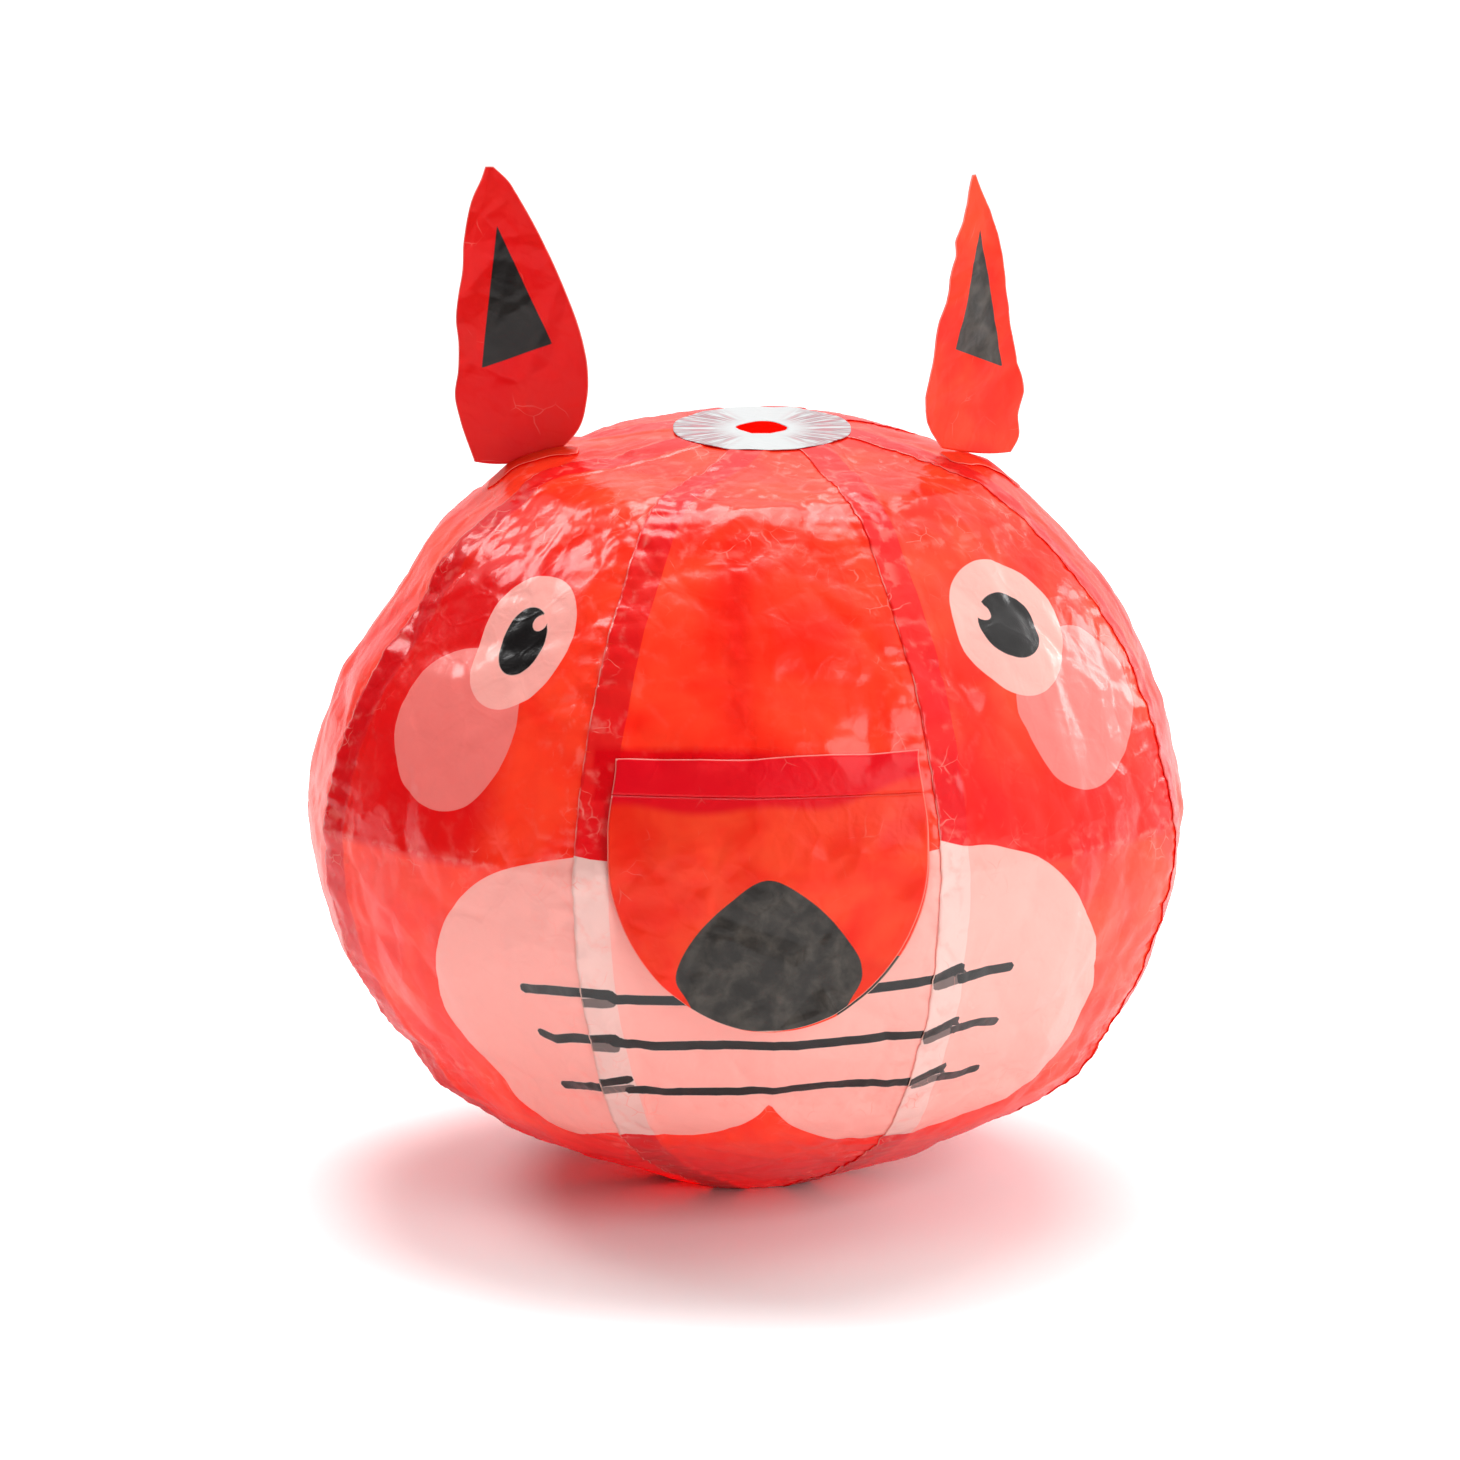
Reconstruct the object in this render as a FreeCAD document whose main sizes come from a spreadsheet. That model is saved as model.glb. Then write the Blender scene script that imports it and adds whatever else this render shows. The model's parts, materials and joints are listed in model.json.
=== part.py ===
"""Paper balloon in the shape of an animal's head: eight paper gores lapped and glued into a ball,
a paper disc glued over each pole, two upright ears and a hanging snout flap.

Frame: origin at the centre of the flat underside of the base disc, +Z up through the blow hole,
the face looks along -Y, and +X is on the viewer's right. Millimetres and degrees.
"""

import FreeCAD, Part

import os
import re

import Sketcher

# Every size is written once, here. The paper is thicker than real glassine so that it is a solid.
SIZES = {
    # paper and glue
    "paper": 0.25,
    "glue": 0.05,
    "lap": 8.5,
    "edge_gap": 0.3,
    "step_width": 1.0,
    # the ball: the place on a seam of each cross crease and of the bulge between two of them, by
    # its height above the rest face or its drop below the crown, and its radius
    "gore_count": 8,
    "facets_per_gore": 3,
    "crown_height": 188.0,
    "shoulder_drop": 9.0,
    "shoulder_radius": 63.0,
    "upper_crease_drop": 18.0,
    "upper_crease_radius": 74.0,
    "brow_height": 133.5,
    "brow_radius": 101.0,
    "equator_height": 97.0,
    "equator_radius": 111.8,
    "jaw_height": 68.0,
    "jaw_radius": 108.0,
    "lower_crease_height": 39.0,
    "lower_crease_radius": 92.5,
    "heel_height": 19.5,
    "heel_radius": 70.0,
    # the pole discs
    "disc_radius": 22.3,
    "disc_margin": 0.9,
    "gore_end_land": 1.68,
    "blow_hole_radius": 5.5,
    # the ears
    "ear_seat_radius": 55.0,
    "ear_height": 75.0,
    "ear_width": 33.5,
    "ear_widest_height": 22.0,
    "ear_base_width": 25.0,
    "ear_tip_width": 2.6,
    "ear_tip_roundness": 1.05,
    "ear_side_radius": 113.0,
    "ear_foot_radius": 52.0,
    "ear_tab_depth": 8.0,
    "left_ear_turn": 4.0,
    "right_ear_turn": 40.0,
    "left_ear_sweep": 7.0,
    "right_ear_sweep": 12.0,
    # the snout flap
    "snout_width": 75.0,
    "snout_length": 55.0,
    "snout_hinge_height": 119.0,
    "snout_strip_height": 9.0,
    "snout_shift": 3.0,
    "snout_clearance": 0.5,
    "fold_gap": 0.3,
}

doc = FreeCAD.newDocument("paper_balloon")
sheet = doc.addObject("Spreadsheet::Sheet", "Sizes")
for row, (size_name, value) in enumerate(SIZES.items(), start=1):
    sheet.set(f"A{row}", size_name)
    sheet.set(f"B{row}", str(value))
    sheet.setAlias(f"B{row}", size_name)
doc.recompute()


def size(expression):
    """The value of an expression in the sheet's names."""
    return float(sheet.evalExpression(expression))


def cell(expression):
    """The same expression as an object outside the sheet writes it."""
    named = "|".join(sorted(SIZES, key=len, reverse=True))
    return re.sub(rf"\b({named})\b", r"Sizes.\1", expression)


def bind(obj, **expressions):
    """Binds properties to the sheet. An underscore in a property's path stands for a dot."""
    for path, expression in expressions.items():
        obj.setExpression(path.replace("_", "."), cell(expression))


def add(kind, label, **links):
    """A new object with its links set."""
    obj = doc.addObject(kind, label)
    for name, value in links.items():
        setattr(obj, name, value)
    return obj


# ---- the ball's nested forms -------------------------------------------------------------------

BASE_HEIGHT = "2 * (paper + glue)"
RIM_RADIUS = "(disc_radius + disc_margin)"
PANEL = "(360 / gore_count)"
FLAT = "cos(180 / (gore_count * facets_per_gore))"
FRONT_SEAM = f"(-90 - {PANEL} / 2)"
SHOULDER_HEIGHT = "(crown_height - shoulder_drop)"
UPPER_CREASE_HEIGHT = "(crown_height - upper_crease_drop)"

BALL_LEVELS = [
    (BASE_HEIGHT, RIM_RADIUS),
    ("heel_height", "heel_radius"),
    ("lower_crease_height", "lower_crease_radius"),
    ("jaw_height", "jaw_radius"),
    ("equator_height", "equator_radius"),
    ("brow_height", "brow_radius"),
    (UPPER_CREASE_HEIGHT, "upper_crease_radius"),
    (SHOULDER_HEIGHT, "shoulder_radius"),
    ("crown_height", RIM_RADIUS),
]


def ring(label, height, radius, turn):
    """One level of a form: a polygon with a corner on every seam."""
    polygon = add("Part::RegularPolygon", label)
    bind(polygon, Polygon="gore_count * facets_per_gore", Circumradius=radius)
    bind(polygon, Placement_Base_z=height, Placement_Rotation_Angle=turn)
    return polygon


def form(label, levels, turn):
    """A closed solid through the levels, with straight facets between them."""
    rings = [ring(f"{label}_ring", height, radius, turn) for height, radius in levels]
    return add("Part::Loft", label, Sections=rings, Solid=True, Ruled=True)


def offset_level(level, offset):
    """A level of the ball moved outwards by the offset. The ball is close to an ellipsoid, so
    growing each half about the equator moves every facet by nearly the same distance."""
    height, radius = level
    upper = size(height) > size("equator_height")
    half = "(crown_height - equator_height)" if upper else f"(equator_height - {BASE_HEIGHT})"
    grown = f"equator_height + ({height} - equator_height) * (1 + ({offset}) / {half})"
    return grown, f"{radius} * (1 + ({offset}) / equator_radius)"


def shell(label, levels, inner, outer, turn="0"):
    """The paper between two offsets of a form."""
    inside = form(f"{label}_inside", [offset_level(level, inner) for level in levels], turn)
    outside = form(f"{label}_outside", [offset_level(level, outer) for level in levels], turn)
    return add("Part::Cut", label, Base=outside, Tool=inside)


def common(label, base, tool):
    """What two solids share."""
    return add("Part::Common", label, Base=base, Tool=tool)


# ---- the gores ---------------------------------------------------------------------------------

REACH = "2 * equator_radius"
TALL = "crown_height + 2 * equator_radius"
BELOW = "-equator_radius"


def slab(label, near, wide, turn, start="0"):
    """A tall upright box from near to near + wide, measured across a seam plane turned about Z."""
    box = add("Part::Box", label)
    bind(box, Length=f"{REACH} - ({start})", Width=wide, Height=TALL)
    box.setExpression(
        "Placement",
        f"placement(vector(0; 0; {cell(BELOW)}); rotationz({cell(turn)}))"
        f" * placement(vector({cell(start)}; {cell(near)}; 0); rotationz(0))",
    )
    return box


# A gore is the lower paper from where its left neighbour's margin ends to the far edge of its own
# right margin, and its left margin lies on that neighbour as the upper paper.
step_start = "(lap + edge_gap)"
lower_paper = shell("lower_paper", BALL_LEVELS, "-paper", "0")
upper_paper = shell("upper_paper", BALL_LEVELS, "glue", "glue + paper")
both_papers = shell("both_papers", BALL_LEVELS, "-paper", "glue + paper")

margin_slab = slab("margin_slab", "0", f"{step_start} + step_width", "0")
left_margin = common("left_margin", upper_paper, margin_slab)
step = common("step", both_papers, slab("step_slab", step_start, "step_width", "0"))
past_step = slab("past_step", step_start, REACH, "0", start=f"-{REACH}")
before_edge = slab("before_edge", f"lap - {REACH}", REACH, PANEL, start=f"-{REACH}")
panel_sector = common("panel_sector", past_step, before_edge)
panel = common("panel", lower_paper, panel_sector)
whole_gore = add("Part::MultiFuse", "whole_gore", Shapes=[panel, left_margin, step])

# The gores end where each is still wide enough for its two margins with a strip of land between.
END_WIDTH = "(lap + edge_gap + step_width + gore_end_land)"
pole_opening = add("Part::Cylinder", "pole_opening")
bind(pole_opening, Radius=f"{END_WIDTH} / (2 * sin({PANEL} / 2))", Height=TALL, Placement_Base_z=BELOW)
pattern_gore = add("Part::Cut", "pattern_gore", Base=whole_gore, Tool=pole_opening)

GORES = [
    "front_gore",
    "front_right_gore",
    "right_gore",
    "rear_right_gore",
    "rear_gore",
    "rear_left_gore",
    "left_gore",
    "front_left_gore",
]
parts = []
for index, name in enumerate(GORES[: int(size("gore_count"))]):
    gore = add("Part::Compound", name, Links=[pattern_gore])
    bind(gore, Placement_Rotation_Angle=f"{FRONT_SEAM} + {PANEL} * {index}")
    parts.append(gore)


# ---- flat paper cut to an outline --------------------------------------------------------------


def new_sketch(body, plane):
    """An empty sketch on one of the body's origin planes."""
    sketch = body.newObject("Sketcher::SketchObject", f"{body.Name}_outline")
    planes = [feature for feature in body.Origin.OriginFeatures if feature.Role == plane]
    sketch.AttachmentSupport = [(planes[0], "")]
    sketch.MapMode = "FlatFace"
    return sketch


def outline(body, plane, corners, radii):
    """A closed sketch through the corners, each an (x, y) pair of expressions. radii has one entry
    for the side that leaves each corner: None for a straight side, or the radius of an arc that
    bulges outwards, on a path that runs anticlockwise."""
    sketch = new_sketch(body, plane)
    points = [FreeCAD.Vector(size(x), size(y), 0) for x, y in corners]
    for i, radius in enumerate(radii):
        start, end = points[i], points[(i + 1) % len(points)]
        if radius is None:
            sketch.addGeometry(Part.LineSegment(start, end))
            continue
        chord = end - start
        reach = size(radius)
        sagitta = reach - (reach**2 - (chord.Length / 2) ** 2) ** 0.5
        outwards = FreeCAD.Vector(chord.y, -chord.x, 0).normalize()
        sketch.addGeometry(Part.Arc(start, (start + end) / 2 + outwards * sagitta, end))
    for i, radius in enumerate(radii):
        following = (i + 1) % len(radii)
        sketch.addConstraint(Sketcher.Constraint("Coincident", i, 2, following, 1))
        for axis, expression in zip(("DistanceX", "DistanceY"), corners[i]):
            number = sketch.addConstraint(Sketcher.Constraint(axis, -1, 1, i, 1, size(expression)))
            sketch.setExpression(f"Constraints[{number}]", cell(expression))
        if radius is not None:
            number = sketch.addConstraint(Sketcher.Constraint("Radius", i, size(radius)))
            sketch.setExpression(f"Constraints[{number}]", cell(radius))
    return sketch


def sheet_body(label, plane, corners, radii, thickness, start="0"):
    """A flat piece of paper: an outline padded by its thickness, from start above its plane."""
    body = doc.addObject("PartDesign::Body", label)
    sketch = outline(body, plane, corners, radii)
    sketch.setExpression("AttachmentOffset.Base.z", cell(start))
    pad = body.newObject("PartDesign::Pad", f"{label}_pad")
    pad.Profile = sketch
    pad.setExpression("Length", cell(thickness))
    sketch.Visibility = False
    return body


def disc(label, height, hole_radius=None):
    """A round paper disc, with a hole if a radius is given."""
    body = doc.addObject("PartDesign::Body", label)
    sketch = new_sketch(body, "XY_Plane")
    for radius in filter(None, ("disc_radius", hole_radius)):
        circle = sketch.addGeometry(Part.Circle(FreeCAD.Vector(), FreeCAD.Vector(0, 0, 1), size(radius)))
        sketch.addConstraint(Sketcher.Constraint("Coincident", circle, 3, -1, 1))
        number = sketch.addConstraint(Sketcher.Constraint("Radius", circle, size(radius)))
        sketch.setExpression(f"Constraints[{number}]", cell(radius))
    pad = body.newObject("PartDesign::Pad", f"{label}_pad")
    pad.Profile = sketch
    pad.setExpression("Length", cell("paper"))
    bind(body, Placement_Base_z=height)
    return body


parts.append(disc("base_disc", "0"))
parts.append(disc("crown_disc", "crown_height + paper + 2 * glue", "blow_hole_radius"))


# ---- the ears ----------------------------------------------------------------------------------

# Each ear stands on the flat facet that runs from the crown's rim to the shoulder, midway between
# two seams. Its seat frame has X down the facet, Y along the facet and Z out of it. The ear folds
# at its foot, which is high enough for the leaf that comes down on the tab.
SLOPE = f"atan2(shoulder_drop; (shoulder_radius - {RIM_RADIUS}) * {FLAT})"
SEAT_HEIGHT = f"(crown_height - (ear_seat_radius - {RIM_RADIUS} * {FLAT}) * tan({SLOPE}))"
SEAT_LIFT = "(paper + 2 * glue)"
EAR_FOOT = f"({SEAT_LIFT} + 2 * paper + glue / 2 + fold_gap)"


def ear(side, facing):
    """Two leaves glued back to back, and the tab that glues them to the ball. facing turns the
    seat frame about Z: 0 for the ear at +X and 180 for the one at -X."""
    mirror = "1" if facing == 0 else "-1"
    turn = f"{mirror} * {side}_ear_turn"
    place = (
        f"placement(vector(0; 0; 0); rotationz({facing}))"
        f" * placement(vector({cell('ear_seat_radius')}; 0; {cell(SEAT_HEIGHT)});"
        f" rotationy({cell(SLOPE)}) * rotationz({cell(turn)}))"
    )
    sweep = f"(-{side}_ear_sweep)"
    share = "(ear_widest_height / ear_height)"
    top = f"({EAR_FOOT} + ear_height)"
    widest = f"({EAR_FOOT} + ear_widest_height)"
    corners = [
        ("-ear_base_width / 2", EAR_FOOT),
        ("ear_base_width / 2", EAR_FOOT),
        (f"ear_width / 2 + {sweep} * {share}", widest),
        (f"ear_tip_width / 2 + {sweep}", top),
        (f"-ear_tip_width / 2 + {sweep}", top),
        (f"-ear_width / 2 + {sweep} * {share}", widest),
    ]
    tip_radius = "ear_tip_width / 2 * ear_tip_roundness"
    radii = [None, "ear_foot_radius", "ear_side_radius", tip_radius, "ear_side_radius", "ear_foot_radius"]
    for leaf, start in (("front", "glue / 2"), ("back", "-paper - glue / 2")):
        if facing == 180:
            start = "glue / 2" if leaf == "back" else "-paper - glue / 2"
        body = sheet_body(f"{side}_ear_{leaf}_leaf", "XZ_Plane", corners, radii, "paper", start)
        body.setExpression("Placement", place)
        parts.append(body)
    near = "(-fold_gap)" if facing == 0 else "(ear_tab_depth + fold_gap)"
    far = "(-ear_tab_depth - fold_gap)" if facing == 0 else "fold_gap"
    tab_corners = [
        ("-ear_base_width / 2", far),
        ("ear_base_width / 2", far),
        ("ear_base_width / 2", near),
        ("-ear_base_width / 2", near),
    ]
    tab = sheet_body(f"{side}_ear_tab", "XY_Plane", tab_corners, [None] * 4, "paper", SEAT_LIFT)
    tab.setExpression("Placement", place)
    parts.append(tab)


ear("left", 180)
ear("right", 0)


# ---- the snout flap ----------------------------------------------------------------------------

RISE = "((snout_hinge_height - equator_height) / (brow_height - equator_height))"
HINGE_RADIUS = f"(equator_radius + (brow_radius - equator_radius) * {RISE})"
SNOUT_END = "(snout_hinge_height - snout_length)"
BACK_LEAF = "(glue + paper + snout_clearance)"
FRONT_LEAF = f"({BACK_LEAF} + paper + glue)"

# The strip that glues the flap on follows the ball's facets above the hinge.
strip_inner = "paper + 2 * glue"
strip_paper = shell("strip_paper", BALL_LEVELS[4:6], strip_inner, f"{strip_inner} + paper", FRONT_SEAM)
strip_block = add("Part::Box", "strip_block")
bind(strip_block, Length="snout_width", Width=REACH, Height="snout_strip_height")
bind(strip_block, Placement_Base_x="snout_shift - snout_width / 2")
bind(strip_block, Placement_Base_y=f"-({REACH})", Placement_Base_z="snout_hinge_height + fold_gap / 2")
parts.append(common("snout_glue_strip", strip_paper, strip_block))

# The leaves follow the ball down to the equator and hang straight below it.
round_radius = "(snout_width / 2)"
flap_top = "(snout_hinge_height - fold_gap / 2)"
left_x = f"(snout_shift - {round_radius})"
right_x = f"(snout_shift + {round_radius})"
round_height = f"({SNOUT_END} + {round_radius})"
flap_corners = [
    (left_x, flap_top),
    (left_x, round_height),
    ("snout_shift", SNOUT_END),
    (right_x, round_height),
    (right_x, flap_top),
]
flap_radii = [None, round_radius, round_radius, None, None]
flap_block = sheet_body("flap_block", "XZ_Plane", flap_corners, flap_radii, REACH)


def flap_form(label, offset):
    """The surface that a leaf lies on, as a solid down to below the flap's end."""
    grow = f"(1 + ({offset}) / equator_radius)"
    levels = [
        (f"{SNOUT_END} - snout_strip_height", f"equator_radius * {grow}"),
        ("equator_height", f"equator_radius * {grow}"),
        ("snout_hinge_height", f"{HINGE_RADIUS} * {grow}"),
    ]
    return form(label, levels, FRONT_SEAM)


for leaf, near in (("back", BACK_LEAF), ("front", FRONT_LEAF)):
    inside = flap_form(f"snout_{leaf}_inside", near)
    outside = flap_form(f"snout_{leaf}_outside", f"{near} + paper")
    leaf_paper = add("Part::Cut", f"snout_{leaf}_paper", Base=outside, Tool=inside)
    parts.append(common(f"snout_{leaf}_leaf", leaf_paper, flap_block))


# ---- checks and files --------------------------------------------------------------------------

doc.recompute()
for obj in doc.Objects:
    if any(word in obj.State for word in ("Invalid", "Error")):
        raise RuntimeError(f"{obj.Label} failed to build: {obj.State}")

os.makedirs("parts", exist_ok=True)
for part in parts:
    shape = part.Shape
    if shape.isNull() or not shape.isValid() or not shape.Solids:
        raise RuntimeError(f"{part.Label} has no valid solid")

for part in parts:
    part.Shape.exportStep(os.path.join("parts", f"{part.Label}.step"))
    print(f"{part.Label}: {len(part.Shape.Solids)} solid, {part.Shape.Volume:.1f} mm3")

seat = f"height {size(SEAT_HEIGHT):.3f}, slope {size(SLOPE):.3f}, foot {size(EAR_FOOT):.3f}"
print("ear seat:", seat)
hinge_y = -size(f"{HINGE_RADIUS} * {FLAT} * (1 + ({FRONT_LEAF}) / equator_radius)")
print(f"snout hinge: y {hinge_y:.3f}, z {size('snout_hinge_height'):.3f}")
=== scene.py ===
"""Looks of a paper balloon shaped as an animal's head: printed glassine gores lapped into a ball,
a silvered paper disc over each pole, two paper ears and a hanging snout flap.

Lengths are millimetres until a mesh is written. Angles about Z are degrees, anticlockwise from +X
seen from above. A gore's own coordinates are `across`, to the right of its panel's centre line as
seen from outside, and `down`, along the seam from the blow hole's side to the base."""

import json
import math

import bpy
import numpy as np
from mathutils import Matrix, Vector, noise


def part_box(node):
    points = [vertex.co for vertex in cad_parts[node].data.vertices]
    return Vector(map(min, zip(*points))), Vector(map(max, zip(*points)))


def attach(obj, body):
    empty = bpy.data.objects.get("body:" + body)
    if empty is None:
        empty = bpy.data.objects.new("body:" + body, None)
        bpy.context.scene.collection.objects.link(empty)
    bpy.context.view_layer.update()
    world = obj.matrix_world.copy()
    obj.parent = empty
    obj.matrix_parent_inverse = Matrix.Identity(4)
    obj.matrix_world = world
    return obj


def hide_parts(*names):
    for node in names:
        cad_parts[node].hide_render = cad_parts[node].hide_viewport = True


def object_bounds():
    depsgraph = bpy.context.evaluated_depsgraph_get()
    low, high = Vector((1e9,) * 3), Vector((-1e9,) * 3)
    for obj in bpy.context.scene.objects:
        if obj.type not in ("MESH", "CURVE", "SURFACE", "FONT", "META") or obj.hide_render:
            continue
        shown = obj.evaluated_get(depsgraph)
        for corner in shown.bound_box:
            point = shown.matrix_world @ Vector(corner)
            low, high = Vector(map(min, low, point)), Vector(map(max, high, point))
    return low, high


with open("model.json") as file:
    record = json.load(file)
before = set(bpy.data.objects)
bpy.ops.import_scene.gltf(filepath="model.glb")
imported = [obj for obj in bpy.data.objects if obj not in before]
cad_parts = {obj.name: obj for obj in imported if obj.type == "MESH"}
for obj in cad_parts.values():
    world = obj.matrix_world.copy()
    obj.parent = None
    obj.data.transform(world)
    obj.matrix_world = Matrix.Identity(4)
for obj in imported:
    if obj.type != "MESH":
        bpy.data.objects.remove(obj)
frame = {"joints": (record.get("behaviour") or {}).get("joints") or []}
cad_low, cad_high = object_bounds()
bpy.ops.object.select_all(action="DESELECT")

MM = 0.001
JOINTS = {joint["name"]: joint for joint in frame["joints"]}

# ---- camera, floor and lights ------------------------------------------------------------------

CAMERA_DISTANCE = 1407.0
CAMERA_ELEVATION = 12.76
CAMERA_TURN = 1.44
LENS = 138.8
AIM = (-3.9, 0.0, 112.4)
LIGHT_AIM = (0, 0, 100)


def look_at(place, target):
    """The turn that points a camera or a light from one place at another."""
    return (Vector(target) - Vector(place)).to_track_quat("-Z", "Y").to_euler()


def soft_light(name, place, width, watts):
    """A square white soft box that faces the balloon. Its place and width are in millimetres."""
    light = bpy.data.lights.new(name, "AREA")
    light.size = width * MM
    light.energy = watts
    lamp = bpy.data.objects.new(name, light)
    lamp.location = Vector(place) * MM
    lamp.rotation_euler = look_at(place, LIGHT_AIM)
    bpy.context.scene.collection.objects.link(lamp)


def linear(hex_colour):
    """An sRGB hex colour as linear RGBA."""
    shares = [int(hex_colour[i : i + 2], 16) / 255 for i in (1, 3, 5)]
    return [c / 12.92 if c <= 0.04045 else ((c + 0.055) / 1.055) ** 2.4 for c in shares] + [1.0]


def add_camera():
    """A long lens a little above the balloon's middle, aimed at its front."""
    elevation, turn = math.radians(CAMERA_ELEVATION), math.radians(CAMERA_TURN)
    level = math.cos(elevation)
    back = Vector((-math.sin(turn) * level, -math.cos(turn) * level, math.sin(elevation)))
    centre = Vector((0, 0, EQUATOR_HEIGHT))
    data = bpy.data.cameras.new("camera")
    data.lens = LENS
    data.clip_start = 0.01
    camera = bpy.data.objects.new("camera", data)
    place = centre + back * CAMERA_DISTANCE
    camera.location = place * MM
    camera.rotation_euler = look_at(place, AIM)
    bpy.context.scene.collection.objects.link(camera)
    bpy.context.scene.camera = camera


def add_floor():
    """The white surface that the balloon rests on, wide enough that its edge is never seen."""
    bpy.ops.mesh.primitive_plane_add(size=12)
    floor = bpy.context.object
    floor.name = "floor"
    floor.data.materials.append(matt_board())
    floor.select_set(False)


def add_studio():
    """Daylight from a big window behind, soft boxes, and the light that the paper lets through."""
    world = bpy.data.worlds.new("studio")
    bpy.context.scene.world = world
    world.use_nodes = True
    tree = world.node_tree
    direction = add_node(tree, "ShaderNodeTexCoord").outputs["Generated"]
    side = add_node(tree, "ShaderNodeVectorMath", {"operation": "DOT_PRODUCT"}, in_0=direction)
    side.inputs[1].default_value = (0.62, 0.7, 0.35)
    lit = step(tree, side.outputs["Value"], -0.15, 0.75)
    shade = mix(tree, lit, linear("#5A5A5E"), linear("#FFFFFF"))
    tree.links.new(shade, tree.nodes["Background"].inputs["Color"])
    tree.nodes["Background"].inputs["Strength"].default_value = 1.05
    sun = bpy.data.lights.new("window", "SUN")
    sun.energy = 2.15
    sun.angle = math.radians(42)
    window = bpy.data.objects.new("window", sun)
    window.rotation_euler = look_at((130, 480, 1250), (0, 0, 0))
    bpy.context.scene.collection.objects.link(window)
    soft_light("overhead_box", (-100, 300, 1100), 500, 4)
    soft_light("key_box", (1000, -1250, 800), 900, 17)
    soft_light("left_rim_box", (-850, 450, 1000), 400, 6)
    soft_light("right_rim_box", (1150, 650, 500), 400, 4)
    glow = bpy.data.lights.new("light_in_the_paper", "POINT")
    glow.energy = 0.14
    glow.shadow_soft_size = 0.03
    glow_lamp = bpy.data.objects.new("light_in_the_paper", glow)
    glow_lamp.location = Vector((-16, -12, 22)) * MM
    bpy.context.scene.collection.objects.link(glow_lamp)
    bpy.context.scene.view_settings.view_transform = "Standard"


# ---- shader building ---------------------------------------------------------------------------


def add_node(tree, kind, settings=None, **links):
    """Adds a node. Settings are its own properties. Links set its inputs, each by its name with
    underscores for spaces or by in_ and its number, to a value or from another node's output."""
    node = tree.nodes.new(kind)
    for name, value in (settings or {}).items():
        setattr(node, name, value)
    for name, value in links.items():
        socket = node.inputs[int(name[3:])] if name.startswith("in_") else node.inputs[name.replace("_", " ")]
        if isinstance(value, bpy.types.NodeSocket):
            tree.links.new(value, socket)
        else:
            socket.default_value = value
    return node


def new_material(name):
    """An empty node material and its tree."""
    material = bpy.data.materials.new(name)
    material.use_nodes = True
    material.node_tree.nodes.clear()
    return material, material.node_tree


def mark(tree, name):
    """A named value that a sheet's points carry."""
    return add_node(tree, "ShaderNodeAttribute", {"attribute_name": name}).outputs["Fac"]


def step(tree, value, low, high):
    """0 below low, 1 above high, smooth between."""
    settings = {"interpolation_type": "SMOOTHSTEP"}
    ramp = add_node(tree, "ShaderNodeMapRange", settings, Value=value, From_Min=low, From_Max=high)
    return ramp.outputs["Result"]


def maths(tree, operation, first, second):
    """One sum on two values."""
    return add_node(tree, "ShaderNodeMath", {"operation": operation}, in_0=first, in_1=second).outputs[0]


def mix(tree, factor, first, second, blend="MIX"):
    """Two colours mixed."""
    settings = {"data_type": "RGBA", "blend_type": blend}
    return add_node(tree, "ShaderNodeMix", settings, in_0=factor, in_6=first, in_7=second).outputs[2]


def place_on(tree):
    """A point's place on the object, in metres."""
    return add_node(tree, "ShaderNodeTexCoord").outputs["Object"]


def mottle(tree, size, detail=3.0, distortion=0.0):
    """Cloudy noise with blotches about size millimetres across, 0 to 1."""
    texture = add_node(
        tree,
        "ShaderNodeTexNoise",
        Vector=place_on(tree),
        Scale=1 / (size * MM),
        Detail=detail,
        Distortion=distortion,
    )
    return texture.outputs["Fac"]


def crackle(tree, size, width):
    """Thin broken lines round facets about size millimetres across: 1 on a line."""
    swirl = add_node(tree, "ShaderNodeTexNoise", Vector=place_on(tree), Scale=0.7 / (size * MM), Detail=2.0)
    offset = add_node(tree, "ShaderNodeVectorMath", {"operation": "SCALE"}, in_0=swirl.outputs["Color"])
    offset.inputs["Scale"].default_value = size * MM * 0.8
    bent = add_node(tree, "ShaderNodeVectorMath", in_0=place_on(tree), in_1=offset.outputs[0])
    cells = add_node(
        tree,
        "ShaderNodeTexVoronoi",
        {"feature": "DISTANCE_TO_EDGE"},
        Vector=bent.outputs[0],
        Scale=1 / (size * MM),
    )
    return maths(tree, "SUBTRACT", 1.0, step(tree, cells.outputs["Distance"], 0.0, width / size))


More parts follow.
